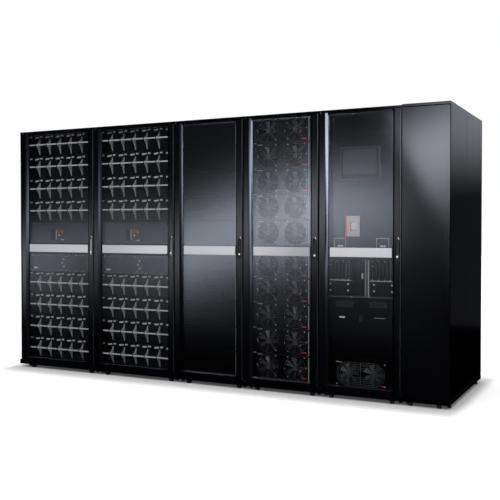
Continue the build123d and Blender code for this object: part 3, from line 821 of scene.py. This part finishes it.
def main_breaker_fittings():
    """Red edge stripe, bracket round the toggle, screws, and the cover plates beside the breaker."""
    low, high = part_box("main_breaker")
    toggle_low, toggle_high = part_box("breaker_toggle")
    stripe = plate(
        "breaker_stripe", low.y, (low.x - 0.004, low.x + 0.0060), (low.z, high.z), strip_thick,
        0.002, 0.0005, 0.0007
    )
    keep(stripe, signal_red)
    wide, overlap = 0.0065, 0.0005
    face, back = low.y - strip_thick, low.y
    left, right = toggle_low.x - 0.0105, toggle_low.x + 0.012
    bottom, top = toggle_low.z - 0.0075, toggle_high.z + 0.0075
    inner = left + wide - overlap
    sides = [
        box("side", (left, face, bottom), (left + wide, back, top)),
        box("head", (inner, face, top - wide), (right, back, top)),
        box("foot", (inner, face, bottom), (right, back, bottom + wide)),
    ]
    keep(joined("toggle_bracket", *sides), signal_red)
    spots = [(x, low.y, z) for x in (1.139, 1.171) for z in (1.2265, 1.1525)]
    keep(scattered(screw("breaker_screws", 0.0045, 0.0015), spots), white_plastic)

    cover_face, cover_back, cover_zs, gap = -0.4750, -0.4740, (1.120, 1.260), 0.003
    for name, start, end in (
        ("breaker_cover", high.x + gap, 1.343),
        ("breaker_cover_edge", 1.069, low.x - gap),
    ):
        cover = box(name, (start, cover_face, cover_zs[0]), (end, cover_back, cover_zs[1]), tag_edge)
        keep(press(cover, 0.0015, -0.0004), cover_grey)


def label_holders():
    """Two blank card holders, each with a white slip at its foot, and the catch at the panel's head."""
    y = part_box("control_panel")[0].y
    low_z, high_z = 0.992, 1.108
    frames = [
        outline("holder", (start, low_z), (end, high_z), 0.0025, y, 0.0010)
        for start, end in ((1.002, 1.087), (1.305, 1.393))
    ]
    keep(joined("label_holders", *frames), pale_grey)
    slip_wide, slip_zs = 0.041, (1.048, 1.060)
    slips = [
        plate("slip", y, (x, x + slip_wide), slip_zs, 0.0009, 0.001, 0.0002, 0.0003)
        for x in (1.027, 1.332)
    ]
    keep(joined("label_slips", *slips), white_plastic)
    catch = plate("panel_catch", y, (1.128, 1.146), (1.9560, 1.9625), 0.006, 0.002, 0.001)
    keep(catch, breaker_grey)


def display_fittings():
    """Outer and inner edge of the display bezel, and its lamp."""
    low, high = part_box("display_bezel")
    inside, outside = 0.0005, 0.003
    edge = outline(
        "display_edge", (low.x + inside, low.z + inside), (high.x - inside, high.z - inside), 0.004,
        low.y + 0.004, 0.0035
    )
    keep(edge, edge_grey)
    inner_low, inner_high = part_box("display_screen")
    inner = outline(
        "display_inner_edge", (inner_low.x - outside, inner_low.z - outside),
        (inner_high.x + outside, inner_high.z + outside), 0.0022, low.y, 0.0006
    )
    keep(inner, plate_dark)
    lamp_xs = (low.x + 0.106, low.x + 0.138)
    lamp_zs = (low.z + 0.0100, low.z + 0.0145)
    keep(small_tag("display_lamp", low.y, lamp_xs, lamp_zs, 0.001), lamp_red)


def card_bay_fittings():
    """Terminal blocks, lips, knobs, screws and tags of the card bay, the divider's edges, the bay's
    catch, and the tray's front edge with its studs."""
    cages = solids("card_cages")
    y = cages[0][0].y
    block_back, first_z, block_pitch, block_count = 0.003, 0.836, 0.0125, 9
    block = plate("terminal_blocks", 0.0, (-0.005, 0.005), (-0.004, 0.004), 0.003, 0.002, 0.0015, 0.0008)
    blocks = [
        (x, y + block_back, first_z + block_pitch * step)
        for x in (1.091, 1.113, 1.404) for step in range(block_count)
    ]
    keep(scattered(block, blocks), edge_grey)
    lips = [
        plate("lip", y, (low.x, high.x), (low.z - 0.001, low.z + 0.003), 0.0030, 0.001, -0.0006)
        for low, high in cages
    ]
    keep(joined("cage_lips", *lips), pale_grey)
    knob = press(boss("cage_knobs", origin, 0.004, 0.004, 8), 0.001, 0.0008)
    knobs = [
        (low.x + x, y - 0.001, z) for low, high in cages
        for x in (0.018, 0.060, 0.105, 0.143) for z in (0.8235, 0.9500)
    ]
    keep(scattered(knob, knobs), breaker_grey)
    covers = [(0.975, 0.791), (1.104, 0.791), (0.975, 0.747), (1.104, 0.747),
              (1.289, 0.791), (1.415, 0.791), (1.290, 0.747), (1.415, 0.747)]
    keep(scattered(screw("cover_screws", 0.006), [(x, y, z) for x, z in covers]), white_plastic)
    small = small_tag("cage_tags", 0.0, (0.0, 0.013), (-0.002, 0.002), 0.001)
    keep(scattered(small, [(1.273, y, 0.917), (0.968, y, 0.922)]), pale_grey)

    post_low, post_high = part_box("bay_divider")
    post_zs = (post_low.z + 0.002, post_high.z - 0.002)
    edges = [
        plate("edge", post_low.y, (x, x + wide), post_zs, strip_thick, 0.0007, 0.0003)
        for x, wide in ((post_low.x + 0.001, 0.0025), (post_high.x - 0.0065, 0.0055))
    ]
    keep(joined("divider_edges", *edges), pale_grey)
    catch_long, catch_x, catch_z = 0.028, 1.188, 0.831
    catch = boss("bay_catch", origin, 0.006, 0.006, 16, 0.0015)
    pick(catch, lambda corner, normal: corner.z > 0.001, "VERT")
    bpy.ops.transform.translate(value=(0.0, 0.0, catch_long))
    leave()
    place = (catch_x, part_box("switch_bay")[0].y, catch_z)
    keep(scattered(press(catch, 0.0015, 0.0012), [place]), white_plastic)

    tray_low, tray_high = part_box("bay_tray")
    proud = 0.002
    lip = plate(
        "tray_lip", tray_low.y, (tray_low.x, tray_high.x), (tray_low.z + 0.001, tray_high.z), proud,
        0.0008, -0.0004
    )
    keep(lip, edge_grey)
    studs = [(x, tray_low.y - proud, tray_high.z - 0.002) for x in (1.129, 1.261)]
    keep(scattered(screw("tray_studs", 0.004, 0.002), studs), pale_grey)


def lower_fittings():
    """Blank plates, tag and bar of the lower panel, and the guard, screws, marks and lamp of the fan
    drawer."""
    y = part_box("lower_panel")[0].y
    plates = [
        plate("plate", y, xs, zs, strip_thick, border, depth) for xs, zs, border, depth in (
            ((1.015, 1.143), (0.634, 0.674), 0.003, 0.0010),
            ((1.256, 1.380), (0.634, 0.674), 0.003, 0.0010),
            ((1.183, 1.212), (0.533, 0.578), 0.004, 0.0012),
        )
    ]
    keep(joined("lower_plates", *plates), plate_dark)
    for name, xs, zs, border, material in (
        ("lower_tag", (1.041, 1.082), (0.556, 0.568), tag_border, pale_grey),
        ("lower_bar", (1.289, 1.369), (0.5635, 0.5665), 0.0008, breaker_grey),
        ("drawer_marks", (1.021, 1.061), (0.2475, 0.2505), 0.0008, breaker_grey),
    ):
        keep(small_tag(name, y, xs, zs, border), material)

    drawer_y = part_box("fan_drawer")[0].y
    middle_x, middle_z, spread, reach = 1.1955, 0.1725, 0.181, 0.081
    wire = 0.0012
    rings = [
        wire_ring("ring", (middle_x, drawer_y - wire, middle_z), radius, wire, spread)
        for radius in (reach, 0.069, 0.057, 0.045, 0.033, 0.021)
    ]
    stays = [
        box("stay", (x - wire, drawer_y - wire, middle_z - reach), (x + wire, drawer_y, middle_z + reach),
            wire * 0.4)
        for x in (middle_x - spread / 2, middle_x, middle_x + spread / 2)
    ]
    keep(joined("drawer_guard", *rings, *stays), edge_grey)
    heads = [(x, drawer_y, z) for x in (1.024, 1.367) for z in (0.098, 0.250)]
    keep(scattered(screw("drawer_screws"), heads), screw_steel)
    strip = small_tag("drawer_lamp", drawer_y, (1.343, 1.375), (0.0995, 0.1045), 0.001)
    keep(strip, signal_red)


main_breaker_fittings()
label_holders()
display_fittings()
card_bay_fittings()
lower_fittings()


# Doors: a shaped pull lever with its button, the keyhole and catch above it, and the silver band

def door_lock(number):
    """A pull lever in place of its plain node, set back at its head and with a button at its foot, and
    above it the keyhole with a slightly turned catch beside it, its pale grey a painted glint."""
    low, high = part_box(f"door_{number}_lever")
    x = (low.x + high.x) / 2
    foot, y = low.z + 0.0055, low.y
    half, face, back = 0.008, y + 0.0012, y + 0.0080
    down, up, head_from, set_back = 0.006, 0.126, 0.10, 0.0016
    lever = box("lever", (x - half, face, foot - down), (x + half, back, foot + up), 0.0012)
    lever = press(lever, 0.0022, 0.0012)
    pick(lever, lambda corner, normal: corner.z > foot + head_from, "VERT")
    bpy.ops.transform.translate(value=(0.0, set_back, 0.0))
    leave()
    pin = boss("pin", (x, y + 0.012, foot), 0.0055, 0.004, 12)
    lever = joined(f"pull_lever_{number}", lever, pin)
    keep(lever, lever_finishes[number - 1], f"lever_{number}")
    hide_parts(f"door_{number}_lever")
    button_place = (x - 0.001, y + 0.0030, foot + 0.0205)
    button = boss(f"lever_button_{number}", button_place, 0.0070, 0.0028, 20, 0.0010)
    keep(press(button, 0.0035, 0.0006), white_plastic, f"lever_{number}")

    face_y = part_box(f"door_{number}_frame")[0].y
    keyhole = boss(f"keyhole_{number}", (x - 0.0025, face_y, 1.1060), 0.0058, 0.0018, 16)
    keep(press(keyhole, 0.0025, 0.0016), lock_red, f"door_{number}")
    # painted highlight: the catch is pale grey where the lock's slanted top catches the light
    catch_xs, catch_zs, slant = (x + 0.0050, x + 0.0100), (1.0990, 1.1160), radians(20.0)
    catch = plate(f"lock_catch_glint_{number}", face_y, catch_xs, catch_zs, 0.0022, 0.0012, -0.0004, 0.0009)
    catch = turned(catch, slant, (x + 0.0075, face_y, 1.1075))
    keep(catch, breaker_grey, f"door_{number}")


def silver_band(number):
    """The plain bright band across the pane, with broken edges and a raised middle."""
    low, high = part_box(f"door_{number}_band")
    start, end, back_off = low.x + 0.010, high.x - 0.007, 0.0006
    band = box(f"silver_band_{number}", (start, low.y + back_off, low.z), (end, high.y, high.z), 0.0012)
    keep(press(band, 0.0030, -0.0006), bands[number], f"door_{number}")
    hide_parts(f"door_{number}_band")


for number in door_numbers:
    door_lock(number)
    silver_band(number)


# Camera, at the photograph's place

camera = bpy.data.objects.new("camera", bpy.data.cameras.new("camera"))
bpy.context.scene.collection.objects.link(camera)
camera.location = (2.941, -5.616, 1.169)
camera.rotation_euler = (radians(88.90), 0.0, radians(26.77))
camera.data.sensor_width = 36.0
camera.data.lens = 56.67
camera.data.shift_y = -0.0114
bpy.context.scene.camera = camera
bpy.context.scene.view_settings.view_transform = "Standard"


# Stage: floor, lamps and dark flags

white = (1.0, 1.0, 1.0, 1.0)
cool_white = (0.84, 0.88, 1.0, 1.0)
all_but_gloss = ("camera", "diffuse", "transmission", "shadow")


def hide(thing, *rays):
    """Hides a lamp or a card from some kinds of ray."""
    for ray in rays:
        setattr(thing, f"visible_{ray}", False)


def stage_plane(name, place, size, turn):
    bpy.ops.object.select_all(action="DESELECT")
    bpy.ops.mesh.primitive_plane_add(size=1.0, location=place, rotation=turn)
    plane = bpy.context.object
    plane.name = name
    plane.scale = (size[0], size[1], 1.0)
    return plane


def lamp(name, place, target, size, radiance):
    """A soft rectangle of light that faces a target and lights matt surfaces."""
    light = bpy.data.lights.new(name, "AREA")
    light.shape = "RECTANGLE"
    light.size, light.size_y = size
    light.energy = radiance * size[0] * size[1] * pi
    panel = bpy.data.objects.new(name, light)
    bpy.context.scene.collection.objects.link(panel)
    panel.location = place
    panel.rotation_euler = (Vector(target) - Vector(place)).to_track_quat("-Z", "Y").to_euler()
    hide(panel, "camera", "glossy", "transmission")


def glow_card(name, place, size, turn, radiance, shape):
    """A softbox with faded edges that only reflections see. shape works out its brightness
    from the card's own two coordinates, from -0.5 to 0.5 across it."""
    card = stage_plane(name, place, size, turn)
    finish = Finish(name)
    u, v, _ = finish.axes()
    strength = shape(u, v) * radiance
    glow = finish.node("ShaderNodeEmission", sockets={"Color": cool_white, "Strength": strength})
    finish.node("ShaderNodeOutputMaterial", sockets={"Surface": glow})
    card.data.materials.append(finish.owner)
    hide(card, *all_but_gloss)


def make_floor():
    """A pale floor with a painted shadow, darker in a soft edge round the plinth of the row, and white far
    away.
    """
    width, side_shade, front_shade = 60.0, 0.16, 0.34
    row_half, depth_half = 1.80, 0.52
    near, distant = 0.045, 0.15
    floor = stage_plane("floor", origin, (width, width), origin)
    finish = Finish("pale_floor")
    path = finish.node("ShaderNodeLightPath", out="Is Camera Ray")
    x, y, _ = finish.axes()
    far = ((x * x + y * y) ** 0.5).rise(near, distant)
    # painted shadow: the floor's glow drops in a soft edge round the plinth
    beside = ((x * x) ** 0.5).rise(row_half / width, (row_half + side_shade) / width)
    before = ((y * y) ** 0.5).rise(depth_half / width, (depth_half + front_shade) / width)
    past_painted_shadow = ((beside * beside + before * before) ** 0.5).rise(0.0, 1.0)
    strength = path * (far * 0.45 + past_painted_shadow * 0.50 + 0.05)
    matt = finish.node("ShaderNodeBsdfDiffuse", sockets={"Color": (0.80, 0.80, 0.80, 1.0)})
    glow = finish.node("ShaderNodeEmission", sockets={"Color": white, "Strength": strength})
    both = finish.node("ShaderNodeAddShader", sockets={0: matt, 1: glow})
    finish.node("ShaderNodeOutputMaterial", sockets={"Surface": both})
    floor.data.materials.append(finish.owner)


def make_flags():
    """Black cards that only reflections see, as round a dark product in a studio."""
    finish = Finish("flag_black")
    card = finish.node("ShaderNodeBsdfDiffuse", sockets={"Color": (0.0, 0.0, 0.0, 1.0)})
    finish.node("ShaderNodeOutputMaterial", sockets={"Surface": card})
    cards = [
        ("front_flag", (0.0, -8.5, 4.0), (24.0, 8.0), front_turn),
        ("back_flag", (0.0, 9.0, 4.0), (24.0, 8.0), front_turn),
        ("left_flag", (-9.0, 0.0, 4.0), (20.0, 8.0), side_turn),
        ("right_flag", (9.0, 0.0, 4.0), (20.0, 8.0), side_turn),
        ("floor_flag", (0.0, 0.0, 0.001), (24.0, 24.0), origin),
    ]
    for name, place, size, turn in cards:
        flag = stage_plane(name, place, size, turn)
        flag.data.materials.append(finish.owner)
        hide(flag, *all_but_gloss)


def make_world():
    """White to the camera and in reflections, and a dimmer fill for the rest."""
    fill = 0.40
    world = bpy.data.worlds.new("studio")
    bpy.context.scene.world = world
    finish = Finish("studio", world)
    rays = ("Camera", "Glossy", "Transmission")
    seen, mirrored, through = [finish.node("ShaderNodeLightPath", out=f"Is {ray} Ray") for ray in rays]
    bright = seen.most(mirrored).most(through)
    strength = bright + (1.0 - bright) * fill
    sky = finish.node("ShaderNodeBackground", sockets={"Color": white, "Strength": strength})
    finish.node("ShaderNodeOutputWorld", sockets={"Surface": sky})


front_turn, side_turn = (quarter, 0.0, 0.0), (quarter, 0.0, quarter)
make_floor()
make_flags()
make_world()
lamp("key", (0.5, -5.0, 4.2), (0.0, 0.0, 1.0), (7.0, 3.0), 3.1)
lamp("top", (0.0, 0.0, 5.0), (0.0, 0.0, 0.0), (6.0, 4.0), 0.8)
lamp("rear", (0.0, 5.5, 4.0), (0.0, 0.0, 1.0), (7.0, 2.5), 1.6)

# Softboxes seen in the gloss: a long one whose bright line rises to the right, a near one for the end
# cabinet, a tall one at the right that the door beads catch, a high one behind and one at the left end.
long_middle, long_high = 1.3, 3.4
line_heights = [(0.0, 0.30), (0.186, 0.36), (0.342, 0.50), (0.507, 0.45), (0.635, 0.595),
                (0.762, 0.705), (0.892, 0.69), (1.0, 0.70)]
line_strengths = [(0.0, 0.40), (0.10, 0.74), (0.186, 0.74), (0.342, 0.40), (0.507, 0.58),
                  (0.635, 0.66), (0.762, 0.98), (0.892, 0.48), (0.92, 0.12), (1.0, 0.0)]
bead_strengths = [(0.0, 0.0), (0.06, 0.037), (0.26, 0.05), (0.32, 0.60), (0.40, 0.64), (0.58, 0.86),
                  (0.90, 0.9), (1.0, 0.0)]


def ramp(position, stops):
    """A grey value that goes through the given stops."""
    greys = [(place, (grey, grey, grey)) for place, grey in stops]
    return position.finish.node("ShaderNodeValToRGB", {"stops": greys}, {"Fac": position})


def fade_ends(u, start):
    """1 in the middle of a card, falling from start to 0 at its two ends."""
    return 1.0 - abs(u).rise(start, 0.50)


def long_glow(u, v):
    """A soft bright line: its height, in metres, and its strength change along the card."""
    along = u + 0.5
    offset = v * long_high + long_middle - ramp(along, line_heights) * 2.0
    spread = 0.33 - (offset > 0.0) * 0.05
    return ramp(along, line_strengths) * (offset / spread).bell(1.0) + 0.018 * along * fade_ends(u, 0.42)


def end_glow(u, v):
    return (v / (0.155 - (v > 0.0) * 0.05)).bell(1.0) * fade_ends(u, 0.44)


def bead_glow(u, v):
    return (v / (0.225 + (v > 0.0) * 0.03)).bell(1.0) * ramp(u + 0.5, bead_strengths)


def high_glow(u, v):
    return v.rise(-0.12, 0.14) + 0.04


tilt = radians(26.0)
glow_card("long_box", (-2.3, -3.6, long_middle), (7.4, long_high), front_turn, 3.25, long_glow)
glow_card("end_box", (1.392, -2.0, 1.88), (0.56, 2.0), (quarter, -tilt, 0.0), 7.8, end_glow)
glow_card("bead_box", (2.45, -3.60, 1.90), (3.5, 2.6), front_turn, 28.0, bead_glow)
glow_card("back_box", (3.6, 4.0, 2.0), (3.6, 4.0), front_turn, 0.52, high_glow)
glow_card("left_box", (-5.2, 4.4, 2.0), (3.6, 4.0), side_turn, 0.80, high_glow)
